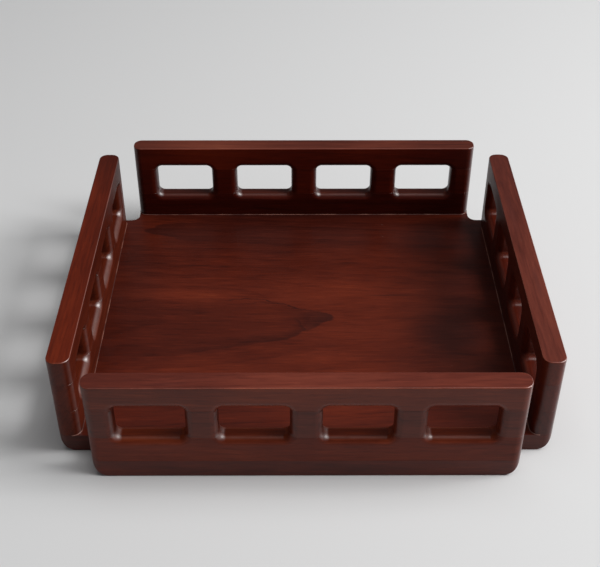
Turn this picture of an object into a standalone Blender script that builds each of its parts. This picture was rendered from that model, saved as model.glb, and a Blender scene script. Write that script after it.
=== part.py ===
# Wooden serving tray: a base board with a notch at each corner, and four upright walls that
# stand on it. Each wall is glued up from a lower rail, five short blocks and an upper rail,
# which leaves four finger openings to grip it by, rounded over on both faces.
# Metres, +Z up. The origin is on the ground, under the middle of the base.

import math

import bmesh
import bpy
from mathutils import Matrix, Vector

# Overall sizes
tray_length = 0.4524  # outside, along X
tray_width = 0.406  # outside, along Y
base_thickness = 0.0195
wall_thickness = 0.0197  # front and back
side_wall_thickness = 0.0212  # left and right

# Notches that leave the tray's four corners open
notch_length = 0.0345  # along X
notch_width = 0.0313  # along Y
notch_fillet = 0.009

# Heights of the strips in a wall, from the base up
lower_rail_height = 0.0290
block_height = 0.0325
upper_rail_height = 0.0274

# Finger openings
openings_per_wall = 4
bar_width = 0.0286  # wood left between two openings
post_width = 0.0243  # wood left between the last opening and the wall's end
rail_trim = 0.0025  # how far an opening is cut into the rail above and below it
block_allowance = 0.0020  # extra width of a block, cut away with the opening
opening_corner = 0.0065  # corner radius of an opening, halfway through the wall
round_over = 0.0075  # radius of an opening's edge on both faces

# Edges
wall_end_radius = 0.0085  # upright edges at the ends of the walls
under_radius = 0.0180  # bottom edges at the left and right of the base
top_arris = 0.0008
bottom_arris = 0.0010

# Dowels, upright, from the base into the lower rails
dowel_diameter = 0.0080
dowel_depth_in_base = 0.0120
dowel_depth_in_rail = 0.0180
dowel_chamfer = 0.0008
dowels_per_wall = 4
dowel_end_distance = 0.0450  # from a wall's end to the middle of its first dowel

# Fits
glue_gap = 0.0003
dowel_clearance = 0.0003
cut_overrun = 0.0040
under_radius_most_share = 0.96  # of the base's thickness

# Smoothness of the curves
corner_steps = 5
round_over_steps = 4
end_steps = 4
under_steps = 7
fillet_steps = 4
dowel_sides = 10

# Sizes that follow
wall_height = lower_rail_height + block_height + upper_rail_height
lower_joint = base_thickness + lower_rail_height
upper_joint = lower_joint + block_height
wall_top = base_thickness + wall_height
opening_height = block_height + 2 * rail_trim
opening_level = (lower_joint + upper_joint) / 2
long_wall_length = tray_length - 2 * notch_length
short_wall_length = tray_width - 2 * notch_width
base_under_radius = min(under_radius, base_thickness * under_radius_most_share)

WOOD_COLOUR = (0.090, 0.025, 0.015, 1.0)
DOWEL_COLOUR = (0.600, 0.430, 0.260, 1.0)


def clear_scene():
    for obj in list(bpy.data.objects):
        bpy.data.objects.remove(obj, do_unlink=True)


def new_collection(name):
    collection = bpy.data.collections.new(name)
    bpy.context.scene.collection.children.link(collection)
    return collection


def wood_material(name, colour, roughness):
    material = bpy.data.materials.new(name)
    material.use_nodes = True
    shader = material.node_tree.nodes["Principled BSDF"]
    shader.inputs["Base Color"].default_value = colour
    shader.inputs["Roughness"].default_value = roughness
    shader.inputs["Metallic"].default_value = 0
    return material


def add_object(name, mesh, collection, parent=None):
    obj = bpy.data.objects.new(name, mesh)
    collection.objects.link(obj)
    obj.parent = parent
    return obj


def add_piece(name, mesh, material, parent=None):
    piece = add_object(name, mesh, tray_parts, parent)
    piece.data.materials.append(material)
    return piece


def add_cutter(name, mesh, parent=None):
    cutter = add_object(name, mesh, cutters, parent)
    cutter.hide_render = True
    cutter.display_type = "WIRE"
    return cutter


def cut(piece, cutter):
    modifier = piece.modifiers.new(cutter.name, "BOOLEAN")
    modifier.operation = "DIFFERENCE"
    modifier.solver = "EXACT"
    modifier.object = cutter


def finish_mesh(name, bm):
    bmesh.ops.recalc_face_normals(bm, faces=bm.faces)
    mesh = bpy.data.meshes.new(name)
    bm.to_mesh(mesh)
    bm.free()
    return mesh


def round_edges(bm, edges, radius, steps):
    bmesh.ops.bevel(
        bm,
        geom=edges,
        offset=radius,
        offset_type="OFFSET",
        affect="EDGES",
        segments=steps,
        profile=0.5,
        material=-1,
        clamp_overlap=True,
    )


def is_upright(edge):
    run = edge.verts[1].co - edge.verts[0].co
    return abs(run.z) > max(abs(run.x), abs(run.y))


def is_level(face):
    return abs(face.normal.z) > math.hypot(face.normal.x, face.normal.y)


def rim_edges(bm, height):
    """The edges at one height that lie between a level face and an upright one."""
    at_height = [e for e in bm.edges if all(abs(v.co.z - height) < glue_gap for v in e.verts)]
    return [edge for edge in at_height if len({is_level(face) for face in edge.link_faces}) == 2]


# The base board

def base_outline():
    half_length = tray_length / 2
    half_width = tray_width / 2
    tab_half_length = half_length - notch_length
    tab_half_width = half_width - notch_width
    quarter = [
        (half_length, tab_half_width),
        (tab_half_length, tab_half_width),
        (tab_half_length, half_width),
    ]
    outline = []
    for side_x, side_y in ((1, 1), (-1, 1), (-1, -1), (1, -1)):
        corner = [Vector((side_x * x, side_y * y, 0)) for x, y in quarter]
        outline += corner if side_x == side_y else corner[::-1]
    return outline


def base_mesh():
    bm = bmesh.new()
    face = bm.faces.new([bm.verts.new(point) for point in base_outline()])
    grown = bmesh.ops.extrude_face_region(bm, geom=[face])["geom"]
    raised = [item for item in grown if isinstance(item, bmesh.types.BMVert)]
    bmesh.ops.translate(bm, verts=raised, vec=(0, 0, base_thickness))
    bmesh.ops.recalc_face_normals(bm, faces=bm.faces)

    # The inner corners of the notches are filleted, and all the others are rounded like the walls.
    reach = Vector((tray_length / 2 - notch_length, tray_width / 2 - notch_width))
    upright = [edge for edge in bm.edges if is_upright(edge)]
    inner = [e for e in upright if (Vector(map(abs, e.verts[0].co.xy)) - reach).length < glue_gap]
    outer = [edge for edge in upright if edge not in inner]
    round_edges(bm, inner, notch_fillet, fillet_steps)
    round_edges(bm, outer, wall_end_radius, end_steps)
    round_edges(bm, rim_edges(bm, 0), bottom_arris, 1)
    return finish_mesh("base_board", bm)


def add_under_round(bm, side, edge_x, low_y, high_y):
    """The waste outside a quarter round, along one bottom edge of the base."""
    radius = base_under_radius
    section = [(edge_x + cut_overrun, -cut_overrun), (edge_x + cut_overrun, radius)]
    for step in range(under_steps + 1):
        turn = math.pi / 2 * step / under_steps
        x = edge_x - radius + radius * math.cos(turn)
        section.append((x, radius - radius * math.sin(turn)))
    section.append((edge_x - radius, -cut_overrun))
    face = bm.faces.new([bm.verts.new((side * x, low_y, z)) for x, z in section])
    grown = bmesh.ops.extrude_face_region(bm, geom=[face])["geom"]
    far = [item for item in grown if isinstance(item, bmesh.types.BMVert)]
    bmesh.ops.translate(bm, verts=far, vec=(0, high_y - low_y, 0))


def under_rounds_mesh():
    bm = bmesh.new()
    end_reach = tray_width / 2 - notch_width + cut_overrun
    tab_start = tray_width / 2 - notch_width + notch_fillet
    tab_end = tray_width / 2 + cut_overrun
    for side in (1, -1):
        add_under_round(bm, side, tray_length / 2, -end_reach, end_reach)
        add_under_round(bm, side, long_wall_length / 2, tab_start, tab_end)
        add_under_round(bm, side, long_wall_length / 2, -tab_end, -tab_start)
    return finish_mesh("under_rounds", bm)


# The walls, drawn along X with the outer face towards -Y, and turned into place by their parent

def opening_width(length):
    bars = (openings_per_wall - 1) * bar_width
    return (length - 2 * post_width - bars) / openings_per_wall


def opening_centres(length):
    pitch = opening_width(length) + bar_width
    middle = (openings_per_wall - 1) / 2
    return [(index - middle) * pitch for index in range(openings_per_wall)]


def opening_ring(centre_x, width, offset, y):
    """A rounded rectangle round an opening, offset outwards from the opening's own outline."""
    radius = opening_corner + offset
    half_width = width / 2 - opening_corner
    half_height = opening_height / 2 - opening_corner
    ring = []
    for quarter, (side_x, side_z) in enumerate(((1, 1), (-1, 1), (-1, -1), (1, -1))):
        for step in range(corner_steps + 1):
            turn = math.pi / 2 * (quarter + step / corner_steps)
            x = centre_x + side_x * half_width + radius * math.cos(turn)
            z = opening_level + side_z * half_height + radius * math.sin(turn)
            ring.append(Vector((x, y, z)))
    return ring


def round_over_profile(thickness):
    """Pairs of offset and y through the wall: rounded over at the outer and the inner face."""
    face = thickness / 2
    outer_half = [(round_over, -face - cut_overrun)]
    for step in range(round_over_steps + 1):
        turn = math.pi / 2 * step / round_over_steps
        offset = round_over * (1 - math.sin(turn))
        outer_half.append((offset, -face + round_over * (1 - math.cos(turn))))
    return outer_half + [(offset, -y) for offset, y in reversed(outer_half)]


def loft(bm, rings):
    loops = []
    for ring in rings:
        verts = [bm.verts.new(point) for point in ring]
        edges = [bm.edges.new((verts[index - 1], verts[index])) for index in range(len(verts))]
        loops.append((verts, edges))
    for (_, near), (_, far) in zip(loops, loops[1:]):
        bmesh.ops.bridge_loops(bm, edges=near + far)
    bm.faces.new(loops[0][0])
    bm.faces.new(loops[-1][0])


def openings_mesh(name, length, thickness):
    bm = bmesh.new()
    width = opening_width(length)
    profile = round_over_profile(thickness)
    for centre_x in opening_centres(length):
        loft(bm, [opening_ring(centre_x, width, offset, y) for offset, y in profile])
    return finish_mesh(name, bm)


def strip_mesh(name, x_span, z_span, thickness, wall_half_length, with_arris=False):
    """A squared strip as thick as the wall, rounded where it reaches the wall's ends."""
    bm = bmesh.new()
    low_x, high_x = x_span
    low_z, high_z = z_span
    size = Vector((high_x - low_x, thickness, high_z - low_z, 1))
    middle = Vector(((low_x + high_x) / 2, 0, (low_z + high_z) / 2))
    bmesh.ops.create_cube(bm, size=1, matrix=Matrix.Translation(middle) @ Matrix.Diagonal(size))
    at_end = [
        edge
        for edge in bm.edges
        if is_upright(edge) and abs(abs(edge.verts[0].co.x) - wall_half_length) < glue_gap
    ]
    if at_end:
        round_edges(bm, at_end, wall_end_radius, end_steps)
    if with_arris:
        round_edges(bm, rim_edges(bm, high_z), top_arris, 1)
    return finish_mesh(name, bm)


def block_spans(length):
    """The ends in X of the two end blocks and the middle blocks, before the openings are cut."""
    half = length / 2
    reach = opening_width(length) / 2 - block_allowance
    centres = opening_centres(length)
    spans = [(-half, centres[0] - reach)]
    spans += [(left + reach, right - reach) for left, right in zip(centres, centres[1:])]
    spans.append((centres[-1] + reach, half))
    return spans


def block_names():
    middle = [f"middle_block_{index + 1}" for index in range(openings_per_wall - 1)]
    return ["end_block_1"] + middle + ["end_block_2"]


def wall_meshes(length, thickness):
    half = length / 2
    whole = (-half, half)
    low = (base_thickness + glue_gap, lower_joint)
    middle = (lower_joint + glue_gap, upper_joint)
    high = (upper_joint + glue_gap, wall_top)
    meshes = {
        "lower_rail": strip_mesh("lower_rail", whole, low, thickness, half),
        "upper_rail": strip_mesh("upper_rail", whole, high, thickness, half, with_arris=True),
    }
    for name, span in zip(block_names(), block_spans(length)):
        meshes[name] = strip_mesh(name, span, middle, thickness, half)
    return meshes


# The dowels

def dowel_places(length):
    first = -length / 2 + dowel_end_distance
    pitch = (length - 2 * dowel_end_distance) / (dowels_per_wall - 1)
    return [first + index * pitch for index in range(dowels_per_wall)]


def cylinder(bm, x, radius, low_z, high_z):
    middle = Matrix.Translation((x, 0, (low_z + high_z) / 2))
    return bmesh.ops.create_cone(
        bm,
        cap_ends=True,
        segments=dowel_sides,
        radius1=radius,
        radius2=radius,
        depth=high_z - low_z,
        matrix=middle,
    )["verts"]


def dowel_mesh():
    bm = bmesh.new()
    low_z = base_thickness - dowel_depth_in_base
    high_z = base_thickness + dowel_depth_in_rail
    cylinder(bm, 0, dowel_diameter / 2, low_z, high_z)
    rims = [edge for edge in bm.edges if not is_upright(edge)]
    round_edges(bm, rims, dowel_chamfer, 1)
    return finish_mesh("dowel", bm)


def dowel_holes_mesh(length):
    bm = bmesh.new()
    low_z = base_thickness - dowel_depth_in_base - dowel_clearance
    high_z = base_thickness + dowel_depth_in_rail + dowel_clearance
    for x in dowel_places(length):
        cylinder(bm, x, dowel_diameter / 2 + dowel_clearance, low_z, high_z)
    return finish_mesh("dowel_holes", bm)


def build_wall(side, length, meshes, opening_cutter_mesh, hole_cutter_mesh, distance, turn, base):
    wall = add_object(f"{side}_wall", None, tray_parts)
    wall.rotation_euler = (0, 0, turn)
    wall.location = Matrix.Rotation(turn, 3, "Z") @ Vector((0, -distance, 0))
    openings = add_cutter(f"{side}_openings", opening_cutter_mesh, wall)
    holes = add_cutter(f"{side}_dowel_holes", hole_cutter_mesh, wall)
    for name, mesh in meshes.items():
        piece = add_piece(f"{side}_{name}", mesh.copy(), red_wood, wall)
        cut(piece, openings)
        if name == "lower_rail":
            cut(piece, holes)
    for index, x in enumerate(dowel_places(length)):
        dowel = add_piece(f"{side}_dowel_{index + 1}", dowel_pin.copy(), pale_wood, wall)
        dowel.location = (x, 0, 0)
    cut(base, holes)


clear_scene()
tray_parts = new_collection("serving_tray")
cutters = new_collection("cutters")
red_wood = wood_material("red_brown_hardwood", WOOD_COLOUR, 0.35)
pale_wood = wood_material("pale_dowel_wood", DOWEL_COLOUR, 0.60)
dowel_pin = dowel_mesh()

base_board = add_piece("base_board", base_mesh(), red_wood)
cut(base_board, add_cutter("under_rounds", under_rounds_mesh()))

for length, thickness, outside, sides in (
    (long_wall_length, wall_thickness, tray_width, (("front", 0), ("back", math.pi))),
    (short_wall_length, side_wall_thickness, tray_length,
     (("right", math.pi / 2), ("left", -math.pi / 2))),
):
    strips = wall_meshes(length, thickness)
    opening_cutter = openings_mesh("openings", length, thickness)
    hole_cutter = dowel_holes_mesh(length)
    wall_distance = (outside - thickness) / 2
    for side, turn in sides:
        build_wall(side, length, strips, opening_cutter, hole_cutter, wall_distance, turn, base_board)
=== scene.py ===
import math

import bmesh
import bpy
from mathutils import Matrix, Vector


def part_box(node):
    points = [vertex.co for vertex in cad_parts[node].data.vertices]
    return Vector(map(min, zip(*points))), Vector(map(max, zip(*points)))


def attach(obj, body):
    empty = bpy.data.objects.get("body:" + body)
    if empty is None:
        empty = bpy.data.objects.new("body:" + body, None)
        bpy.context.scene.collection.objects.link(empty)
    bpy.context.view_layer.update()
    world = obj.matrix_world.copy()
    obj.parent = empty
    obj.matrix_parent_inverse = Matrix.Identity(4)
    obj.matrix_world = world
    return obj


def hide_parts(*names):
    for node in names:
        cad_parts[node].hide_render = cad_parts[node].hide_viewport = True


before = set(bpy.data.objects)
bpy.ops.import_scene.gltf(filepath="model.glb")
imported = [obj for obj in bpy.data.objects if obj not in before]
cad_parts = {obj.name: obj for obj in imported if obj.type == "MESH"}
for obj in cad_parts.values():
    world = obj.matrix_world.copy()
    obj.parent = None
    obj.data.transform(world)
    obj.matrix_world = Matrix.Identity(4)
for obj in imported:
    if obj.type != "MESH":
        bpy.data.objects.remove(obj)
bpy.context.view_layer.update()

print("frame loaded with", len(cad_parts), "nodes")

# How far each wall is turned from the front one
sideTurns = {"front": 0.0, "back": math.pi, "right": math.pi / 2, "left": -math.pi / 2}


# Modelling helpers

modelSettings = {
    "near": 1e-5,                # points closer than this are one place
    "cutNear": 1e-6,             # the same where a plane cuts
    "levelPart": 0.7,            # upward part of the normal of a level face
    "sharpAngle": 32.0,
    "flatWeight": 100,
    "overrun": 0.0040,           # cutters reach this far past what they cut
}


def extent(node):
    low, high = (Vector(corner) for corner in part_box(node))
    return high - low, (low + high) / 2


def allOf(bm):
    return bm.verts[:] + bm.edges[:] + bm.faces[:]


def roundEdges(bm, edges, radius, steps):
    bmesh.ops.bevel(bm, geom=edges, offset=radius, offset_type="OFFSET", affect="EDGES",
                    segments=steps, profile=0.5, material=-1, clamp_overlap=True)


def uprightEdges(bm):
    runs = [(edge, edge.verts[1].co - edge.verts[0].co) for edge in bm.edges]
    return [edge for edge, run in runs if abs(run.z) > max(abs(run.x), abs(run.y))]


def rimEdges(bm, height):
    rim = []
    for edge in bm.edges:
        if all(abs(vert.co.z - height) < modelSettings["near"] for vert in edge.verts):
            level = [abs(face.normal.z) > modelSettings["levelPart"] for face in edge.link_faces]
            if any(level) and not all(level):
                rim.append(edge)
    return rim


def toMesh(name, bm):
    mesh = bpy.data.meshes.new(name)
    bm.to_mesh(mesh)
    bm.free()
    return mesh


def grow(bm, way):
    # draws a flat outline out into a solid
    grown = bmesh.ops.extrude_face_region(bm, geom=bm.faces[:])["geom"]
    moved = [item for item in grown if isinstance(item, bmesh.types.BMVert)]
    bmesh.ops.translate(bm, verts=moved, vec=way)


def carve(bm, *cutters):
    solid = bpy.data.objects.new("blank", toMesh("blank", bm))
    tools = [bpy.data.objects.new("waste", toMesh("waste", cutter)) for cutter in cutters]
    for item in [solid] + tools:
        bpy.context.scene.collection.objects.link(item)
    for tool in tools:
        modifier = solid.modifiers.new("cut", "BOOLEAN")
        modifier.operation = "DIFFERENCE"
        modifier.solver = "EXACT"
        modifier.object = tool
    evaluated = solid.evaluated_get(bpy.context.evaluated_depsgraph_get())
    carved = bmesh.new()
    carved.from_mesh(evaluated.to_mesh())
    evaluated.to_mesh_clear()
    for item in [solid] + tools:
        mesh = item.data
        bpy.data.objects.remove(item)
        bpy.data.meshes.remove(mesh)
    return carved


def trim(bm, point, outward):
    cut = bmesh.ops.bisect_plane(bm, geom=allOf(bm), dist=modelSettings["cutNear"], plane_co=point,
                                 plane_no=outward, clear_outer=True)["geom_cut"]
    edges = [item for item in cut if isinstance(item, bmesh.types.BMEdge)]
    if edges:
        bmesh.ops.holes_fill(bm, edges=edges, sides=0)


def addPiece(name, bm, material, slotName, *nodes):
    bmesh.ops.recalc_face_normals(bm, faces=bm.faces)
    mesh = toMesh(name, bm)
    mesh.shade_smooth()
    mesh.set_sharp_from_angle(angle=math.radians(modelSettings["sharpAngle"]))
    mesh.materials.append(material)
    piece = bpy.data.objects.new(name, mesh)
    bpy.context.scene.collection.objects.link(piece)
    weighted = piece.modifiers.new("flat faces stay flat", "WEIGHTED_NORMAL")
    weighted.keep_sharp = True
    weighted.weight = modelSettings["flatWeight"]
    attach(piece, "root")
    if nodes:
        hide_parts(*nodes)


def camel(*words):
    parts = "_".join(words).split("_")
    return parts[0] + "".join(part.capitalize() for part in parts[1:])


# Shader helpers

noiseMean = 0.5                  # what a noise texture gives on average


def feed(tree, socket, value):
    if isinstance(value, bpy.types.NodeSocket):
        tree.links.new(value, socket)
    else:
        socket.default_value = value


def put(tree, kind, values=None, **settings):
    node = tree.nodes.new("ShaderNode" + kind)
    for key, value in settings.items():
        setattr(node, key, value)
    for key, value in (values or {}).items():
        feed(tree, node.inputs[key], value)
    return node


def calc(tree, operation, *values):
    return put(tree, "Math", dict(enumerate(values)), operation=operation).outputs[0]


def vectorCalc(tree, operation, *values):
    node = put(tree, "VectorMath", dict(enumerate(values)), operation=operation)
    return next(output for output in node.outputs if output.enabled)


def split(tree, vector):
    return put(tree, "SeparateXYZ", {0: vector}).outputs


def easeBetween(tree, value, low, high):
    node = put(tree, "MapRange", {"Value": value, "From Min": low, "From Max": high},
               interpolation_type="SMOOTHSTEP")
    return node.outputs["Result"]


def mixColour(tree, factor, first, second, blend="MIX"):
    # inputs 6 and 7 and output 2 are the Mix node's colours
    node = put(tree, "Mix", {0: factor, 6: first, 7: second}, data_type="RGBA", blend_type=blend)
    return node.outputs[2]


def noiseNode(tree, position, stretch, detail):
    stretched = vectorCalc(tree, "MULTIPLY", position, stretch)
    return put(tree, "TexNoise", {"Vector": stretched, "Scale": 1.0, "Detail": detail})


def noise(tree, position, stretch, detail):
    return noiseNode(tree, position, stretch, detail).outputs[0]


def bend(tree, position, amount, stretch, detail):
    drift = noiseNode(tree, position, stretch, detail).outputs["Color"]
    drift = vectorCalc(tree, "SUBTRACT", drift, (noiseMean, noiseMean, noiseMean))
    drift = put(tree, "VectorMath", {0: drift, "Scale": amount}, operation="SCALE").outputs[0]
    return vectorCalc(tree, "ADD", position, drift)


def newGroup(name, inputs, outputs, outputKind="Float"):
    # an input's own value says what it is: a number, a vector or a colour with its alpha
    kinds = {1: "Float", 3: "Vector", 4: "Color"}
    tree = bpy.data.node_groups.new(name, "ShaderNodeTree")
    for label, value in inputs.items():
        kind = kinds[1 if isinstance(value, float) else len(value)]
        socket = tree.interface.new_socket(name=label, in_out="INPUT", socket_type="NodeSocket" + kind)
        socket.default_value = value
    for label in outputs:
        tree.interface.new_socket(name=label, in_out="OUTPUT", socket_type="NodeSocket" + outputKind)
    return tree, tree.nodes.new("NodeGroupInput").outputs, tree.nodes.new("NodeGroupOutput").inputs


def useGroup(tree, group, values):
    node = tree.nodes.new("ShaderNodeGroup")
    node.node_tree = group
    for key, value in values.items():
        feed(tree, node.inputs[key], value)
    return node.outputs


def newMaterial(name):
    material = bpy.data.materials.new(name)
    material.use_nodes = True
    tree = material.node_tree
    return material, tree, tree.nodes["Principled BSDF"]


# Wood: the grain runs along X of the vector that is given, in metres

boardDefaults = {
    "taper": 0.03,
    "wander": 0.02,
    "tint": (1.0, 1.0, 1.0),     # what faces up has this same tint where no up-facing tint of painted light is given
    "arris": 0.35,               # how strongly the arris along a top is painted paler, a painted highlight
    "ior": 1.33,
}

grainSettings = {
    "layers": {                  # repeats per metre along, across and through the board, and detail
        "Bands": ((2.5, 34.0, 34.0), 2.0),
        "Streaks": ((15.0, 125.0, 125.0), 4.0),
        "Fibres": ((38.0, 600.0, 600.0), 3.0),
        "Clouds": ((7.0, 13.0, 13.0), 3.0),
    },
    "flecks": ((34.0, 440.0, 440.0), 2.0),
    "fleckRange": (0.54, 0.70),
    "pores": ((110.0, 1900.0, 1900.0), 1.0),
    "poreRange": (0.62, 0.74),
    "wander": ((3.0, 9.0, 9.0), 4.0),
    "ringSharpness": 3.0,
    "ringEnd": 0.92,
}


def makeGrainGroup():
    tree, given, result = newGroup(
        "boardGrain",
        {"Vector": (0.0, 0.0, 0.0), "Heart": (0.0, 0.0, -0.09), "Ring Size": 0.008,
         "Taper": boardDefaults["taper"], "Wander": boardDefaults["wander"]},
        ["Rings", "Bands", "Streaks", "Fibres", "Pores", "Clouds", "Flecks"])
    position = given["Vector"]
    bent = bend(tree, position, given["Wander"], *grainSettings["wander"])
    place = split(tree, vectorCalc(tree, "SUBTRACT", bent, given["Heart"]))
    across = calc(tree, "MULTIPLY", place["Y"], place["Y"])
    radius = calc(tree, "SQRT", calc(tree, "MULTIPLY_ADD", place["Z"], place["Z"], across))
    radius = calc(tree, "MULTIPLY_ADD", place["X"], given["Taper"], radius)
    saw = calc(tree, "FRACT", calc(tree, "DIVIDE", radius, given["Ring Size"]))
    late = calc(tree, "POWER", saw, grainSettings["ringSharpness"])
    early = easeBetween(tree, saw, 1.0, grainSettings["ringEnd"])
    feed(tree, result["Rings"], calc(tree, "MULTIPLY", late, early))
    for label, (stretch, detail) in grainSettings["layers"].items():
        feed(tree, result[label], noise(tree, bent, stretch, detail))
    mark = noise(tree, bent, *grainSettings["flecks"])
    low, high = grainSettings["fleckRange"]
    lighter = easeBetween(tree, mark, low, high)
    darker = easeBetween(tree, mark, 1 - low, 1 - high)
    feed(tree, result["Flecks"], calc(tree, "SUBTRACT", lighter, darker))
    speck = noise(tree, position, *grainSettings["pores"])
    feed(tree, result["Pores"], easeBetween(tree, speck, *grainSettings["poreRange"]))
    return tree


# A pointed figure: darker wood inside a tongue, darkest at its tip, with a thin line on its upper side

tongueDetail = {
    "lineWidth": 0.0013,
    "lineStart": 0.010,          # distances back from the tip
    "lineMiddle": 0.040,
    "lineEnd": 0.125,
    "rimWidth": 0.026,           # darker wood along the lower side
    "rimEnd": 0.150,
    "wobble": 0.030,
    "drift": ((22.0, 55.0, 1.0), 4.0),
}


def makeTongueGroup():
    tree, given, result = newGroup(
        "tongueFigure",
        {"Vector": (0.0, 0.0, 0.0), "Tip": (0.0, 0.0, 0.0), "Facing": 1.0,
         "Upper Reach": 0.027, "Upper Length": 0.040, "Lower Reach": 0.050, "Lower Length": 0.045,
         "Spread": 0.08, "Edge": 0.006, "Core": 0.05, "Fade": 0.20, "Depth": 0.5, "Rim": 0.0},
        ["Shade"])
    bent = bend(tree, given["Vector"], tongueDetail["wobble"], *tongueDetail["drift"])
    place = split(tree, vectorCalc(tree, "SUBTRACT", bent, given["Tip"]))
    along = calc(tree, "MULTIPLY", calc(tree, "MULTIPLY", place["X"], given["Facing"]), -1.0)
    behind = calc(tree, "MAXIMUM", along, 0.0)

    def edgeCurve(reach, length):
        fall = calc(tree, "MULTIPLY", calc(tree, "DIVIDE", behind, length), -1.0)
        return calc(tree, "MULTIPLY", calc(tree, "SUBTRACT", 1.0, calc(tree, "EXPONENT", fall)), reach)

    upper = calc(tree, "SUBTRACT", edgeCurve(given["Upper Reach"], given["Upper Length"]), place["Y"])
    lower = calc(tree, "ADD", edgeCurve(given["Lower Reach"], given["Lower Length"]), place["Y"])
    lower = calc(tree, "MULTIPLY_ADD", behind, given["Spread"], lower)
    depth = calc(tree, "ADD", calc(tree, "MINIMUM", upper, lower), calc(tree, "MINIMUM", along, 0.0))
    core = easeBetween(tree, along, given["Core"], 0.0)
    body = calc(tree, "MULTIPLY", easeBetween(tree, along, given["Fade"], 0.0), given["Depth"])
    rim = calc(tree, "MULTIPLY", easeBetween(tree, lower, tongueDetail["rimWidth"], 0.0),
               easeBetween(tree, along, tongueDetail["rimEnd"], 0.0))
    body = calc(tree, "MAXIMUM", body, calc(tree, "MULTIPLY", rim, given["Rim"]))
    inside = calc(tree, "MULTIPLY", easeBetween(tree, depth, 0.0, given["Edge"]),
                  calc(tree, "MAXIMUM", core, body))
    line = easeBetween(tree, calc(tree, "ABSOLUTE", upper), tongueDetail["lineWidth"], 0.0)
    for end in ("lineStart", "lineEnd"):
        line = calc(tree, "MULTIPLY", line,
                    easeBetween(tree, along, tongueDetail[end], tongueDetail["lineMiddle"]))
    feed(tree, result["Shade"], calc(tree, "MAXIMUM", inside, line))
    return tree


# A soft-edged patch, drawn out along the grain

patchSettings = {
    "full": 0.15,                # part of the reach inside which the patch is full
    "wobble": 0.006,
    "drift": ((14.0, 70.0, 70.0), 4.0),
}


def makePatchGroup():
    tree, given, result = newGroup(
        "softPatch",
        {"Vector": (0.0, 0.0, 0.0), "Middle": (0.0, 0.0, 0.0), "Reach": (0.05, 0.01, 1.0)},
        ["Amount"])
    bent = bend(tree, given["Vector"], patchSettings["wobble"], *patchSettings["drift"])
    spot = vectorCalc(tree, "DIVIDE", vectorCalc(tree, "SUBTRACT", bent, given["Middle"]), given["Reach"])
    distance = vectorCalc(tree, "LENGTH", spot)
    feed(tree, result["Amount"], easeBetween(tree, distance, 1.0, patchSettings["full"]))
    return tree


# Where lacquer gathers on rounded edges, the arris along a top, painted paler as a highlight, and what
# faces up, tinted as painted light

edgeSettings = {
    "rounded": (0.998, 0.88),    # the normal's largest part, where rounding starts and is full
    "arrisRise": (0.20, 0.40),   # upward part of the normal
    "arrisFall": (0.97, 0.90),
    # where the up-facing tint, painted light and sheen on the tops and lips, starts and is full
    "up": (0.55, 0.95),
    "hang": (0.80, 0.0, 0.60),   # the way the lacquer gathered on the rounded edges
    "hangRange": (0.40, 0.82),
    "patches": ((90.0, 90.0, 90.0), 3.0),
    "patchChange": 0.90,
    "patchLeast": 0.55,
}


def makeEdgeGroup():
    tree, given, result = newGroup(
        "roundedEdge",
        {"Normal": (0.0, 0.0, 0.0), "Vector": (0.0, 0.0, 0.0)},
        ["Round", "Arris", "Up"])
    turned = split(tree, vectorCalc(tree, "ABSOLUTE", given["Normal"]))
    square = calc(tree, "MAXIMUM", turned["X"], calc(tree, "MAXIMUM", turned["Y"], turned["Z"]))
    patch = noise(tree, given["Vector"], *edgeSettings["patches"])
    patch = calc(tree, "MULTIPLY_ADD", patch, edgeSettings["patchChange"], edgeSettings["patchLeast"])
    rounded = easeBetween(tree, square, *edgeSettings["rounded"])
    hang = vectorCalc(tree, "DOT_PRODUCT", given["Normal"], edgeSettings["hang"])
    hang = easeBetween(tree, hang, *edgeSettings["hangRange"])
    feed(tree, result["Round"], calc(tree, "MULTIPLY", calc(tree, "MULTIPLY", rounded, patch), hang))
    upward = split(tree, given["Normal"])["Z"]
    # the arris along a top is painted paler in the colour, a painted highlight of the light it catches
    arris = calc(tree, "MULTIPLY", easeBetween(tree, upward, *edgeSettings["arrisRise"]),
                 easeBetween(tree, upward, *edgeSettings["arrisFall"]))
    feed(tree, result["Arris"], calc(tree, "MULTIPLY", arris, patch))
    # what faces up takes its own tint: painted light and sheen on the tops and lips
    feed(tree, result["Up"], easeBetween(tree, upward, *edgeSettings["up"]))
    return tree


colourSettings = {
    "stops": [(0.00, (0.0180, 0.0025, 0.0013)), (0.30, (0.0550, 0.0074, 0.0029)),
              (0.50, (0.0950, 0.0137, 0.0050)), (0.75, (0.1500, 0.0240, 0.0085)),
              (1.00, (0.2300, 0.0500, 0.0150))],
    "middle": 0.50,              # where on the stops the plain wood lies
    "Bands": 0.34,               # how far each pattern moves the wood along the stops
    "Streaks": 0.18,
    "Fibres": 0.17,
    "Clouds": 0.40,
    "Rings": -0.10,
    "Glow": 0.22,
    "Flecks": 0.10,
    "shadeTint": (0.42, 0.50, 0.80, 1.0),
    "poreTint": (0.55, 0.50, 0.50, 1.0),
    "poreAmount": 0.55,
    # the arris tint below paints the arris along a top paler and pinker, a painted highlight
    "arrisHighlightTint": (1.90, 2.60, 3.00, 1.0),
    "dustColour": (0.42, 0.34, 0.30, 1.0),
}


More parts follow.
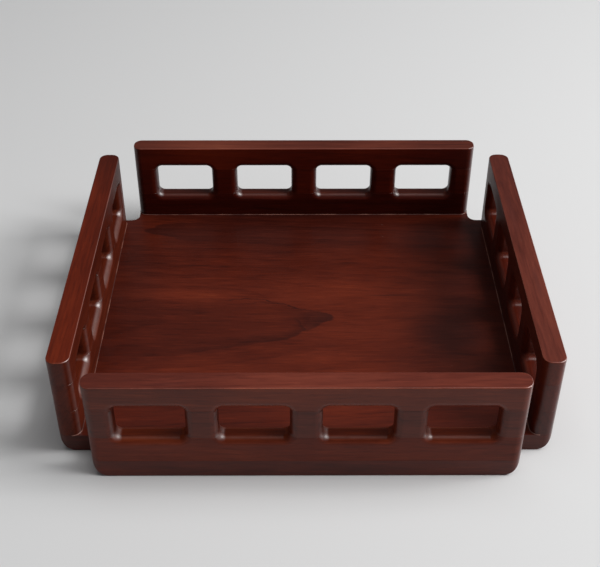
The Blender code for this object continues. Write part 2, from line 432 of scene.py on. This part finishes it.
def makeColourGroup():
    tree, given, result = newGroup(
        "mahoganyColour",
        {"Rings": 0.0, "Bands": noiseMean, "Streaks": noiseMean, "Fibres": noiseMean,
         "Clouds": noiseMean, "Pores": 0.0, "Shade": 0.0, "Glow": 0.0, "Flecks": 0.0, "Arris": 0.0,
         "Dust": 0.0, "Up": 0.0, "Tint": (1.0, 1.0, 1.0, 1.0), "Up Facing Light Tint": (1.0, 1.0, 1.0, 1.0)},
        ["Color"], "Color")
    tone = colourSettings["middle"]
    for label in ("Bands", "Streaks", "Fibres", "Clouds"):
        centred = calc(tree, "SUBTRACT", given[label], noiseMean)
        tone = calc(tree, "MULTIPLY_ADD", centred, colourSettings[label], tone)
    for label in ("Rings", "Glow", "Flecks"):
        tone = calc(tree, "MULTIPLY_ADD", given[label], colourSettings[label], tone)
    ramp = put(tree, "ValToRGB", {"Fac": tone})
    stops = colourSettings["stops"]
    for place, colour in stops[1:-1]:
        ramp.color_ramp.elements.new(place)
    for element, (place, colour) in zip(ramp.color_ramp.elements, stops):
        element.position = place
        element.color = (*colour, 1.0)
    # tops and lips take the up-facing tint, painted light and sheen; the rest takes the board tint,
    # painted shade on the back and right walls
    tint = mixColour(tree, given["Up"], given["Tint"], given["Up Facing Light Tint"])
    colour = mixColour(tree, 1.0, ramp.outputs["Color"], tint, "MULTIPLY")
    pores = calc(tree, "MULTIPLY", given["Pores"], colourSettings["poreAmount"])
    # Shade darkens by the wood's figure and, on the base, by painted shade; the arris tint is a painted
    # highlight
    for amount, tintName in ((given["Shade"], "shadeTint"), (pores, "poreTint"),
                             (given["Arris"], "arrisHighlightTint")):
        colour = mixColour(tree, amount, colour, colourSettings[tintName], "MULTIPLY")
    feed(tree, result["Color"], mixColour(tree, given["Dust"], colour, colourSettings["dustColour"]))
    return tree


finishSettings = {
    "roughness": 0.36,
    "roughnessChange": 0.12,
    "poreRoughness": 0.06,
    "edgeCoat": 1.0,             # extra lacquer on the rounded edges
    "coatRoughness": 0.46,
    "coatIor": 2.3,
    "bumpStrength": 0.10,
    "bumpDistance": 0.0004,
    "plainHeight": 0.50,
    "fibreHeight": 0.25,
    "poreHeight": -0.50,
    "brushing": ((30.0, 60.0, 60.0), 3.0),
    "dustCells": 55.0,           # cells per metre
    "dustSize": 0.022,
    "dustShare": 0.80,           # this part of the cells holds no speck
}


def makeFinishGroup():
    tree, given, result = newGroup(
        "satinLacquer",
        {"Vector": (0.0, 0.0, 0.0), "Fibres": noiseMean, "Pores": 0.0, "Edge": 0.0},
        ["Roughness", "Height", "Coat", "Dust"])
    patch = noise(tree, given["Vector"], *finishSettings["brushing"])
    patch = calc(tree, "SUBTRACT", patch, noiseMean)
    rough = calc(tree, "MULTIPLY_ADD", patch, finishSettings["roughnessChange"],
                 finishSettings["roughness"])
    rough = calc(tree, "MULTIPLY_ADD", given["Pores"], finishSettings["poreRoughness"], rough)
    feed(tree, result["Roughness"], rough)
    height = calc(tree, "MULTIPLY_ADD", given["Fibres"], finishSettings["fibreHeight"],
                  finishSettings["plainHeight"])
    height = calc(tree, "MULTIPLY_ADD", given["Pores"], finishSettings["poreHeight"], height)
    feed(tree, result["Height"], height)
    feed(tree, result["Coat"], calc(tree, "MULTIPLY", given["Edge"], finishSettings["edgeCoat"]))
    cells = put(tree, "TexVoronoi", {"Vector": given["Vector"], "Scale": finishSettings["dustCells"]})
    chance = put(tree, "SeparateColor", {0: cells.outputs["Color"]}).outputs[0]
    held = calc(tree, "GREATER_THAN", chance, finishSettings["dustShare"])
    near = easeBetween(tree, cells.outputs["Distance"], finishSettings["dustSize"], 0.0)
    feed(tree, result["Dust"], calc(tree, "MULTIPLY", near, held))
    return tree


grainGroup = makeGrainGroup()
tongueGroup = makeTongueGroup()
patchGroup = makePatchGroup()
edgeGroup = makeEdgeGroup()
colourGroup = makeColourGroup()
finishGroup = makeFinishGroup()

# Board tints: the base's tint is its own tone; the back and right walls and the left upper rail are
# tinted darker as painted shade; the front rails are tinted a little lighter
boardSettings = {
    "base": {"offset": (0.0, 0.0, 0.0), "heart": (0.0, -0.0065, -0.12), "ringSize": 0.010,
             "turn": 0.0, "taper": 0.05, "wander": 0.03, "tint": (0.84, 0.70, 0.68)},
    "frontLower": {"offset": (0.3, 0.1, 0.0), "heart": (0.0, 0.03, -0.07), "ringSize": 0.007,
                   "turn": 0.0, "tint": (1.10, 1.00, 0.90), "upFacingLightTint": (1.35, 1.15, 0.60), "ior": 1.26},
    "frontBlocks": {"offset": (1.3, 0.2, 0.1), "heart": (0.0, 0.06, -0.04), "ringSize": 0.006,
                    "turn": 0.0},
    "frontUpper": {"offset": (2.1, 0.3, 0.2), "heart": (0.0, 0.02, -0.08), "ringSize": 0.009,
                   "turn": 0.0, "tint": (1.15, 1.15, 1.05), "upFacingLightTint": (1.16, 1.44, 2.30),
                   "arris": 1.0},
    "backLower": {"offset": (3.2, 0.1, 0.3), "heart": (0.0, 0.03, -0.07), "ringSize": 0.007,
                  "turn": 0.0, "tint": (0.50, 0.25, 0.20), "upFacingLightTint": (0.90, 0.90, 1.10)},
    "backBlocks": {"offset": (4.4, 0.3, 0.5), "heart": (0.0, 0.05, -0.05), "ringSize": 0.006,
                   "turn": 0.0, "tint": (0.70, 0.40, 0.30)},
    "backUpper": {"offset": (5.6, 0.5, 0.7), "heart": (0.0, 0.02, -0.06), "ringSize": 0.008,
                  "turn": 0.0, "tint": (0.85, 0.50, 0.35), "upFacingLightTint": (1.00, 1.35, 2.00),
                  "arris": 1.0},
    "leftLower": {"offset": (6.1, 0.2, 0.9), "heart": (0.0, 0.04, -0.08), "ringSize": 0.007,
                  "turn": 90.0, "ior": 1.24},
    "leftBlocks": {"offset": (7.5, 0.4, 0.2), "heart": (0.0, 0.06, -0.05), "ringSize": 0.006,
                   "turn": 90.0, "ior": 1.24},
    "leftUpper": {"offset": (8.3, 0.6, 0.4), "heart": (0.0, 0.03, -0.07), "ringSize": 0.009,
                  "turn": 90.0, "tint": (0.75, 0.70, 0.70), "upFacingLightTint": (1.08, 0.82, 0.62),
                  "arris": 1.0, "ior": 1.27},
    "rightLower": {"offset": (9.7, 0.8, 0.6), "heart": (0.0, 0.02, -0.09), "ringSize": 0.007,
                   "turn": 90.0, "tint": (0.72, 0.50, 0.40), "ior": 1.37},
    "rightBlocks": {"offset": (10.2, 0.1, 0.8), "heart": (0.0, 0.07, -0.05), "ringSize": 0.006,
                    "turn": 90.0, "tint": (0.80, 0.60, 0.50), "ior": 1.37},
    "rightUpper": {"offset": (11.9, 0.9, 0.1), "heart": (0.0, 0.03, -0.06), "ringSize": 0.008,
                   "turn": 90.0, "tint": (0.85, 0.70, 0.60), "upFacingLightTint": (1.03, 1.38, 2.30),
                   "arris": 1.0},
}

tongueSettings = {"base": [
    {"Tip": (0.0345, -0.0065, 0.0), "Facing": 1.0, "Upper Reach": 0.027, "Upper Length": 0.040,
     "Lower Reach": 0.024, "Lower Length": 0.027, "Spread": 0.02, "Edge": 0.0030, "Core": 0.075,
     "Fade": 0.90, "Depth": 0.06, "Rim": 0.0},
    {"Tip": (0.0000, -0.0225, 0.0), "Facing": 1.0, "Upper Reach": 0.045, "Upper Length": 0.012,
     "Lower Reach": 0.024, "Lower Length": 0.026, "Spread": 0.13, "Edge": 0.0035, "Core": 0.016,
     "Fade": 0.90, "Depth": 0.06, "Rim": 0.75},
    {"Tip": (-0.1820, 0.1530, 0.0), "Facing": -1.0, "Upper Reach": 0.021, "Upper Length": 0.020,
     "Lower Reach": 0.034, "Lower Length": 0.040, "Spread": 0.0, "Edge": 0.0045, "Core": 0.110,
     "Fade": 0.35, "Depth": 0.60, "Rim": 0.40},
]}

# Middle, reach and amount of lighter, oranger wood and of darker patches, along and across a board; on
# the base the broad dark patches by the walls and in the corners are painted shade, the thin ones dark
# streaks
glowSettings = {
    "base": [((-0.125, 0.033), (0.090, 0.013), 0.75), ((-0.020, 0.026), (0.090, 0.006), 0.55),
             ((0.040, 0.010), (0.150, 0.075), 0.55), ((0.030, -0.110), (0.130, 0.060), 0.70),
             ((-0.050, 0.0225), (0.022, 0.0009), 0.90), ((0.108, 0.037), (0.018, 0.0010), 0.80),
             ((0.055, 0.049), (0.020, 0.0010), 0.50), ((0.012, -0.072), (0.016, 0.0012), 0.50),
             ((-0.030, 0.096), (0.024, 0.0012), 0.60), ((-0.100, 0.062), (0.040, 0.0022), 0.60),
             ((-0.080, -0.050), (0.060, 0.0030), 0.35), ((0.060, 0.115), (0.050, 0.0100), 0.30),
             ((-0.080, -0.088), (0.130, 0.030), 0.80), ((0.000, -0.066), (0.080, 0.022), 0.70)],
    "frontUpper": [((0.020, -0.193), (0.150, 0.060), 0.80), ((0.110, -0.193), (0.120, 0.060), 0.50)],
    "backUpper": [((-0.110, 0.193), (0.090, 0.060), 0.90), ((0.090, 0.193), (0.060, 0.060), 0.40)],
    "leftUpper": [((-0.110, 0.215), (0.160, 0.060), 0.70)],
    "rightUpper": [((-0.130, -0.215), (0.180, 0.060), 0.75)],
}

# dark streaks in the wood, and on the base broad patches of painted shade where the walls shade it, at
# the back, along the sides and in the back-right corner
streakAndShadeSettings = {
    "base": [((-0.159, 0.089), (0.016, 0.0022), 0.60), ((-0.115, 0.085), (0.022, 0.0018), 0.60),
             ((-0.087, 0.084), (0.012, 0.0025), 0.50), ((0.050, 0.089), (0.020, 0.0025), 0.60),
             ((0.091, 0.032), (0.035, 0.0020), 0.70), ((0.135, -0.0065), (0.080, 0.0011), 0.80),
             ((0.001, 0.142), (0.020, 0.0020), 0.50), ((0.155, -0.030), (0.075, 0.062), 0.95),
             ((0.140, 0.072), (0.035, 0.0080), 0.40), ((0.200, 0.020), (0.100, 0.300), 0.60),
             ((-0.215, 0.080), (0.085, 0.180), 0.55), ((0.000, 0.150), (0.300, 0.090), 0.52),
             ((-0.020, 0.188), (0.300, 0.036), 1.00), ((0.165, 0.140), (0.100, 0.060), 0.90),
             ((0.115, -0.090), (0.065, 0.070), 0.25)],
    "frontUpper": [((-0.120, -0.198), (0.030, 0.0030), 0.35), ((0.190, -0.190), (0.040, 0.0040), 0.30)],
    "leftUpper": [((0.170, 0.215), (0.120, 0.060), 0.45), ((-0.130, 0.222), (0.080, 0.004), 0.30)],
    "rightUpper": [((0.060, -0.213), (0.060, 0.0060), 0.30), ((-0.060, -0.219), (0.040, 0.0040), 0.30)],
}


def addPatches(tree, position, offset, patches):
    total = 0.0
    for middle, reach, most in patches:
        spot = Vector(offset) + Vector((*middle, 0.0))
        amount = useGroup(tree, patchGroup, {"Vector": position, "Middle": spot,
                                             "Reach": (*reach, 1.0)})["Amount"]
        total = calc(tree, "MAXIMUM", calc(tree, "MULTIPLY", amount, most), total)
    return total


def addTongues(tree, position, tongues):
    total = 0.0
    for tongue in tongues:
        shade = useGroup(tree, tongueGroup, {"Vector": position, **tongue})["Shade"]
        total = calc(tree, "MAXIMUM", shade, total)
    return total


def makeBoardMaterial(name, board):
    material, tree, shader = newMaterial(name + "Wood")
    coordinates = put(tree, "TexCoord").outputs
    mapping = put(tree, "Mapping", {"Vector": coordinates["Object"], "Location": board["offset"],
                                    "Rotation": (0.0, 0.0, -math.radians(board["turn"]))}).outputs[0]
    heart = Vector(board["offset"]) + Vector(board["heart"])
    grain = useGroup(tree, grainGroup, {"Vector": mapping, "Heart": heart, "Ring Size": board["ringSize"],
                                        "Taper": board["taper"], "Wander": board["wander"]})
    edge = useGroup(tree, edgeGroup, {"Normal": coordinates["Normal"], "Vector": coordinates["Object"]})
    finish = useGroup(tree, finishGroup, {"Vector": mapping, "Fibres": grain["Fibres"],
                                          "Pores": grain["Pores"], "Edge": edge["Round"]})
    values = {pattern.name: pattern for pattern in grain}
    values.update({"Arris": calc(tree, "MULTIPLY", edge["Arris"], board["arris"]), "Up": edge["Up"],
                   "Dust": finish["Dust"], "Tint": (*board["tint"], 1.0),
                   "Up Facing Light Tint": (*board.get("upFacingLightTint", board["tint"]), 1.0)})
    if name in glowSettings:
        values["Glow"] = addPatches(tree, mapping, board["offset"], glowSettings[name])
    # darker patches: dark streaks and, on the base, painted shade by the walls, screened over the tongue
    # figure
    if name in streakAndShadeSettings:
        shade = addPatches(tree, mapping, board["offset"], streakAndShadeSettings[name])
        figure = addTongues(tree, mapping, tongueSettings.get(name, []))
        values["Shade"] = calc(tree, "MULTIPLY_ADD", calc(tree, "SUBTRACT", 1.0, shade), figure, shade)
    bump = put(tree, "Bump", {"Height": finish["Height"], "Strength": finishSettings["bumpStrength"],
                              "Distance": finishSettings["bumpDistance"]})
    for label, value in {"Base Color": useGroup(tree, colourGroup, values)["Color"],
                         "Roughness": finish["Roughness"], "Coat Weight": finish["Coat"],
                         "Normal": bump.outputs["Normal"], "IOR": board["ior"],
                         "Coat Roughness": finishSettings["coatRoughness"],
                         "Coat IOR": finishSettings["coatIor"]}.items():
        feed(tree, shader.inputs[label], value)
    return material


boardMaterials = {name: makeBoardMaterial(name, {**boardDefaults, **board})
                  for name, board in boardSettings.items()}
print("wood made for", len(boardMaterials), "boards")


# Dowels stay as the frame has them, with holes cut for them in the base and the lower rails

dowelSettings = {
    "clearance": 0.0003,
    "sides": 24,
    "grain": ((900.0, 900.0, 30.0), 3.0),
    "darkWood": (0.42, 0.27, 0.14, 1.0),
    "paleWood": (0.62, 0.45, 0.27, 1.0),
    "roughness": 0.5,
    "roughnessChange": 0.2,
}


def dowelNodes(side):
    return sorted(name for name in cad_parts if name.startswith(side + "_dowel"))


def dowelHoles(side):
    bm = bmesh.new()
    clearance = dowelSettings["clearance"]
    for node in dowelNodes(side):
        size, middle = extent(node)
        radius = size.x / 2 + clearance
        bmesh.ops.create_cone(bm, cap_ends=True, segments=dowelSettings["sides"], radius1=radius,
                              radius2=radius, depth=size.z + 2 * clearance,
                              matrix=Matrix.Translation(middle))
    return bm


def finishDowels():
    material, tree, shader = newMaterial("dowelWood")
    lines = noise(tree, put(tree, "TexCoord").outputs["Object"], *dowelSettings["grain"])
    feed(tree, shader.inputs["Base Color"],
         mixColour(tree, lines, dowelSettings["darkWood"], dowelSettings["paleWood"]))
    feed(tree, shader.inputs["Roughness"],
         calc(tree, "MULTIPLY_ADD", lines, dowelSettings["roughnessChange"], dowelSettings["roughness"]))
    for side in sideTurns:
        for node in dowelNodes(side):
            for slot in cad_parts[node].material_slots:
                slot.material = material


finishDowels()
print("dowels finished")


# The base board

baseSettings = {
    "notchFillet": 0.0090,
    "cornerRadius": 0.0085,
    "arcSteps": 10,
    "underRadius": 0.0180,       # bottom edges at the left and the right
    "underSteps": 16,
    "bottomArris": 0.0010,
    "bottomArrisSteps": 3,
    "topArris": 0.00015,
    "topArrisSteps": 2,
}


def baseOutline():
    size, middle = extent("base_board")
    tabX = extent("front_lower_rail")[0].x / 2
    tabY = extent("left_lower_rail")[0].y / 2
    quarter = [(size.x / 2, tabY), (tabX, tabY), (tabX, size.y / 2)]
    outline = []
    for signX, signY in ((1, 1), (-1, 1), (-1, -1), (1, -1)):
        corner = [Vector((signX * x, signY * y, 0)) for x, y in quarter]
        outline += corner if signX == signY else corner[::-1]
    return outline, Vector((tabX, tabY)), size


def underRound(side, edgeX, lowY, highY):
    radius = baseSettings["underRadius"]
    over = modelSettings["overrun"]
    bm = bmesh.new()
    start = bm.verts.new((edgeX, lowY, radius))
    arc = bmesh.ops.spin(bm, geom=[start], cent=(edgeX - radius, lowY, radius), axis=(0, 1, 0),
                         angle=math.pi / 2, steps=baseSettings["underSteps"])["geom_last"]
    last = next(item for item in arc if isinstance(item, bmesh.types.BMVert))
    far = [bm.verts.new(point) for point in ((edgeX - radius, lowY, -over), (edgeX + over, lowY, -over),
                                             (edgeX + over, lowY, radius))]
    for first, second in zip([last] + far, far + [start]):
        bm.edges.new((first, second))
    bmesh.ops.contextual_create(bm, geom=bm.edges[:])
    grow(bm, (0, highY - lowY, 0))
    if side < 0:
        bmesh.ops.scale(bm, verts=bm.verts, vec=(-1, 1, 1))
    bmesh.ops.recalc_face_normals(bm, faces=bm.faces)
    return bm


def makeBase():
    outline, notch, size = baseOutline()
    bm = bmesh.new()
    bmesh.ops.contextual_create(bm, geom=[bm.verts.new(point) for point in outline])
    grow(bm, (0, 0, size.z))
    bmesh.ops.recalc_face_normals(bm, faces=bm.faces)
    upright = uprightEdges(bm)
    inner = [edge for edge in upright
             if (Vector(map(abs, edge.verts[0].co.xy)) - notch).length < modelSettings["near"]]
    outer = [edge for edge in upright if edge not in inner]
    roundEdges(bm, inner, baseSettings["notchFillet"], baseSettings["arcSteps"])
    roundEdges(bm, outer, baseSettings["cornerRadius"], baseSettings["arcSteps"])
    roundEdges(bm, rimEdges(bm, 0.0), baseSettings["bottomArris"], baseSettings["bottomArrisSteps"])
    roundEdges(bm, rimEdges(bm, size.z), baseSettings["topArris"], baseSettings["topArrisSteps"])

    over = modelSettings["overrun"]
    tabStart = notch.y + baseSettings["notchFillet"]
    waste = []
    for side in (1, -1):
        waste.append(underRound(side, size.x / 2, -notch.y - over, notch.y + over))
        waste.append(underRound(side, notch.x, tabStart, size.y / 2 + over))
        waste.append(underRound(side, notch.x, -size.y / 2 - over, -tabStart))
    waste += [dowelHoles(side) for side in sideTurns]
    addPiece("baseBoard", carve(bm, *waste), boardMaterials["base"], "red_wood", "base_board")


makeBase()
print("base board made")


# The walls, made along X with the outer face towards -Y, then turned into place

wallSettings = {
    "openings": 4,
    "barWidth": 0.0286,          # wood between two openings
    "postWidth": 0.0243,         # wood beyond the last opening
    "openingHeight": 0.0375,
    "openingCorner": 0.0065,
    "cornerSteps": 12,
    "roundOver": 0.0075,         # on both faces of the wall
    "roundSteps": 12,
    "endRadius": 0.0085,
    "endSteps": 10,
    "topArris": 0.0009,
    "topArrisSteps": 4,
    "seam": 0.00003,             # half of a glue line
    "seamEase": 0.00006,         # the joint's edges are eased by this much
    "seamNear": 0.0001,          # edges this close to a joint are the joint's
    "seamLevel": 0.999,          # upward part of the normal of a joint's face
}


def ringPath(bm, halfX, halfY, radius, steps, level):
    # a rounded rectangle: a circle whose quarters are moved apart
    spin = Matrix.Rotation(math.pi / (4 * steps), 4, "Z")
    ring = bmesh.ops.create_circle(bm, segments=4 * steps, radius=radius, matrix=spin)["verts"]
    for vert in ring:
        vert.co.x += math.copysign(halfX - radius, vert.co.x)
        vert.co.y += math.copysign(halfY - radius, vert.co.y)
        vert.co.z = level
    return ring, list(dict.fromkeys(edge for vert in ring for edge in vert.link_edges))


def roundOverPath(radius, steps):
    turns = [math.pi / 2 * step / steps for step in range(steps + 1)]
    return [(radius * (1 - math.sin(turn)), radius * (1 - math.cos(turn))) for turn in turns]


def openingWidth(length):
    count = wallSettings["openings"]
    return (length - 2 * wallSettings["postWidth"] - (count - 1) * wallSettings["barWidth"]) / count


def openingCentres(length):
    count = wallSettings["openings"]
    pitch = openingWidth(length) + wallSettings["barWidth"]
    return [(index - (count - 1) / 2) * pitch for index in range(count)]


def openingCutter(length, thickness, level):
    bm = bmesh.new()
    radius = wallSettings["roundOver"]
    face = thickness / 2
    profile = [(radius, -face - modelSettings["overrun"])]
    profile += [(offset, -face + depth)
                for offset, depth in roundOverPath(radius, wallSettings["roundSteps"])]
    profile += [(offset, -depth) for offset, depth in reversed(profile)]
    halfX, halfZ = openingWidth(length) / 2, wallSettings["openingHeight"] / 2
    corner = wallSettings["openingCorner"]
    for centre in openingCentres(length):
        rings = [ringPath(bm, halfX + offset, halfZ + offset, corner + offset,
                          wallSettings["cornerSteps"], depth) for offset, depth in profile]
        for (near, nearEdges), (far, farEdges) in zip(rings, rings[1:]):
            bmesh.ops.bridge_loops(bm, edges=nearEdges + farEdges)
        for ring, edges in (rings[0], rings[-1]):
            bmesh.ops.contextual_create(bm, geom=ring)
        placed = [vert for ring, edges in rings for vert in ring]
        stand = Matrix.Translation((centre, 0, level)) @ Matrix.Rotation(-math.pi / 2, 4, "X")
        bmesh.ops.transform(bm, matrix=stand, verts=placed)
    bmesh.ops.recalc_face_normals(bm, faces=bm.faces)
    return bm


def wallBlank(length, thickness, low, high):
    bm = bmesh.new()
    size = Matrix.Diagonal((length, thickness, high - low, 1))
    bmesh.ops.create_cube(bm, size=1, matrix=Matrix.Translation((0, 0, (low + high) / 2)) @ size)
    roundEdges(bm, uprightEdges(bm), wallSettings["endRadius"], wallSettings["endSteps"])
    roundEdges(bm, rimEdges(bm, high), wallSettings["topArris"], wallSettings["topArrisSteps"])
    return bm


def slicePiece(wall, low, high, left, right):
    # no high joint is given for the rail at the wall's top
    bm = wall.copy()
    joints = [(low, 1)] if high is None else [(low, 1), (high, -1)]
    for level, inward in joints:
        trim(bm, (0, 0, level + inward * wallSettings["seam"]), (0, 0, -inward))
    trim(bm, (left, 0, 0), (-1, 0, 0))
    trim(bm, (right, 0, 0), (1, 0, 0))
    flat = [face for face in bm.faces if abs(face.normal.z) > wallSettings["seamLevel"]]
    edges = dict.fromkeys(edge for face in flat for edge in face.edges)
    eased = [edge for edge in edges
             if any(all(abs(vert.co.z - level) < wallSettings["seamNear"] for vert in edge.verts)
                    for level, inward in joints)]
    roundEdges(bm, eased, wallSettings["seamEase"], 1)
    return bm


# A thin bead of lacquer, gathered where a wall stands on the base, painted pale pink in patches as a
# highlight

beadSettings = {
    "size": 0.0006,
    "steps": 4,
    "lift": 0.00002,
    "patches": ((45.0, 45.0, 45.0), 3.0),
    "patchRange": (0.40, 0.62),
    "thinColour": (0.060, 0.014, 0.010, 1.0),
    "paleHighlightColour": (0.230, 0.095, 0.070, 1.0),
    "roughness": 0.50,
    "roughnessChange": -0.20,
}


def makeBeadMaterial():
    material, tree, shader = newMaterial("lacquerBead")
    patch = noise(tree, put(tree, "TexCoord").outputs["Object"], *beadSettings["patches"])
    patch = easeBetween(tree, patch, *beadSettings["patchRange"])
    # the bead is pale pink where the patches are, a painted highlight of the light line it catches, and
    # dark like the wood elsewhere
    feed(tree, shader.inputs["Base Color"],
         mixColour(tree, patch, beadSettings["thinColour"], beadSettings["paleHighlightColour"]))
    feed(tree, shader.inputs["Roughness"],
         calc(tree, "MULTIPLY_ADD", patch, beadSettings["roughnessChange"], beadSettings["roughness"]))
    return material


beadMaterial = makeBeadMaterial()


def makeBead(side, length, thickness, baseTop, place):
    bm = bmesh.new()
    end = wallSettings["endRadius"]
    section = [(0.0, 0.0)] + roundOverPath(beadSettings["size"], beadSettings["steps"])
    rings = [ringPath(bm, length / 2 + offset, thickness / 2 + offset, end + offset,
                      wallSettings["endSteps"], baseTop + beadSettings["lift"] + height)
             for offset, height in section]
    for (near, nearEdges), (far, farEdges) in zip(rings, rings[1:] + rings[:1]):
        bmesh.ops.bridge_loops(bm, edges=nearEdges + farEdges)
    trim(bm, (0, thickness / 2 - end, 0), (0, -1, 0))
    bmesh.ops.transform(bm, matrix=place, verts=bm.verts)
    addPiece(camel(side, "lacquer_bead"), bm, beadMaterial, "red_wood")


def makeWall(side, turn):
    lowSize, lowMiddle = extent(side + "_lower_rail")
    highSize, highMiddle = extent(side + "_upper_rail")
    blockSize, blockMiddle = extent(side + "_end_block_1")
    length = max(lowSize.x, lowSize.y)
    thickness = min(lowSize.x, lowSize.y)
    baseTop = extent("base_board")[0].z
    lowJoint = (lowMiddle.z + lowSize.z / 2 + blockMiddle.z - blockSize.z / 2) / 2
    highJoint = (highMiddle.z - highSize.z / 2 + blockMiddle.z + blockSize.z / 2) / 2
    top = highMiddle.z + highSize.z / 2
    wall = carve(wallBlank(length, thickness, baseTop, top),
                 openingCutter(length, thickness, (lowJoint + highJoint) / 2))
    place = Matrix.Translation((lowMiddle.x, lowMiddle.y, 0)) @ Matrix.Rotation(turn, 4, "Z")
    centres = openingCentres(length)
    end = length / 2 + modelSettings["overrun"]

    def add(node, board, low, high, left=-end, right=end):
        bm = slicePiece(wall, low, high, left, right)
        bmesh.ops.transform(bm, matrix=place, verts=bm.verts)
        if node == "lower_rail":
            bm = carve(bm, dowelHoles(side))
        addPiece(camel(side, node), bm, boardMaterials[side + board], "red_wood", f"{side}_{node}")

    add("lower_rail", "Lower", baseTop, lowJoint)
    add("upper_rail", "Upper", highJoint, None)
    add("end_block_1", "Blocks", lowJoint, highJoint, right=centres[0])
    for index, (left, right) in enumerate(zip(centres, centres[1:])):
        add(f"middle_block_{index + 1}", "Blocks", lowJoint, highJoint, left, right)
    add("end_block_2", "Blocks", lowJoint, highJoint, left=centres[-1])
    wall.free()
    makeBead(side, length, thickness, baseTop, place)


for side, turn in sideTurns.items():
    makeWall(side, turn)
    print(side, "wall made")


# Camera, floor and light

cameraSettings = {
    "place": (-0.00815, -0.8544, 0.7321),
    "yaw": 0.0037,
    "pitch": 0.6661,             # downwards
    "roll": 0.0010,
    "focalPixels": 1071.6,
    "widthPixels": 600,
    "sensor": 36.0,
}

floorSettings = {
    "size": 6.0,
    "colour": (0.69, 0.69, 0.69, 1.0),
    "roughness": 0.9,
    "specular": 0.1,
}

lightSettings = {
    "worldColour": (0.97, 0.98, 1.0, 1.0),
    "worldStrength": 0.13,
    "aim": (0.0, 0.0, 0.05),
    "distance": 3.4,
    "areas": {                   # level: how bright each makes a white floor under the tray
        "rightSoftbox": {"azimuth": -3.0, "height": 50.0, "size": (2.9, 2.3), "level": 0.40},
        "rightWindow": {"azimuth": -6.0, "height": 44.0, "size": (1.25, 1.25), "level": 0.40},
        "topSoftbox": {"azimuth": 90.0, "height": 86.0, "size": (2.4, 2.4), "level": 0.18},
    },
}


def makeCamera():
    data = bpy.data.cameras.new("photoView")
    data.sensor_width = cameraSettings["sensor"]
    data.lens = cameraSettings["focalPixels"] * cameraSettings["sensor"] / cameraSettings["widthPixels"]
    camera = bpy.data.objects.new("photoView", data)
    camera.matrix_world = (Matrix.Translation(cameraSettings["place"])
                           @ Matrix.Rotation(-cameraSettings["yaw"], 4, "Z")
                           @ Matrix.Rotation(math.pi / 2 - cameraSettings["pitch"], 4, "X")
                           @ Matrix.Rotation(cameraSettings["roll"], 4, "Z"))
    bpy.context.scene.collection.objects.link(camera)
    bpy.context.scene.camera = camera


def makeFloor():
    bm = bmesh.new()
    bmesh.ops.create_grid(bm, x_segments=1, y_segments=1, size=floorSettings["size"] / 2)
    floor = bpy.data.objects.new("studioFloor", toMesh("studioFloor", bm))
    bpy.context.scene.collection.objects.link(floor)
    material, tree, shader = newMaterial("palePaper")
    shader.inputs["Base Color"].default_value = floorSettings["colour"]
    shader.inputs["Roughness"].default_value = floorSettings["roughness"]
    shader.inputs["Specular IOR Level"].default_value = floorSettings["specular"]
    floor.data.materials.append(material)


def makeLights():
    world = bpy.data.worlds.new("studio")
    bpy.context.scene.world = world
    world.use_nodes = True
    sky = world.node_tree.nodes["Background"]
    sky.inputs["Color"].default_value = lightSettings["worldColour"]
    sky.inputs["Strength"].default_value = lightSettings["worldStrength"]
    distance = lightSettings["distance"]
    face = Matrix.Rotation(math.pi / 2, 4, "Y")       # the lamp shines back along -X
    for name, area in lightSettings["areas"].items():
        data = bpy.data.lights.new(name, "AREA")
        data.shape = "RECTANGLE"
        data.size, data.size_y = area["size"]
        height = math.radians(area["height"])
        data.energy = area["level"] * (math.pi * distance) ** 2 / math.sin(height)
        light = bpy.data.objects.new(name, data)
        turn = Matrix.Rotation(math.radians(area["azimuth"]), 4, "Z")
        lift = Matrix.Rotation(-height, 4, "Y")
        light.matrix_world = (Matrix.Translation(lightSettings["aim"]) @ turn @ lift
                              @ Matrix.Translation((distance, 0, 0)) @ face)
        bpy.context.scene.collection.objects.link(light)


makeCamera()
makeFloor()
makeLights()
bpy.context.scene.view_settings.view_transform = "Standard"
print("camera, floor and lights ready")
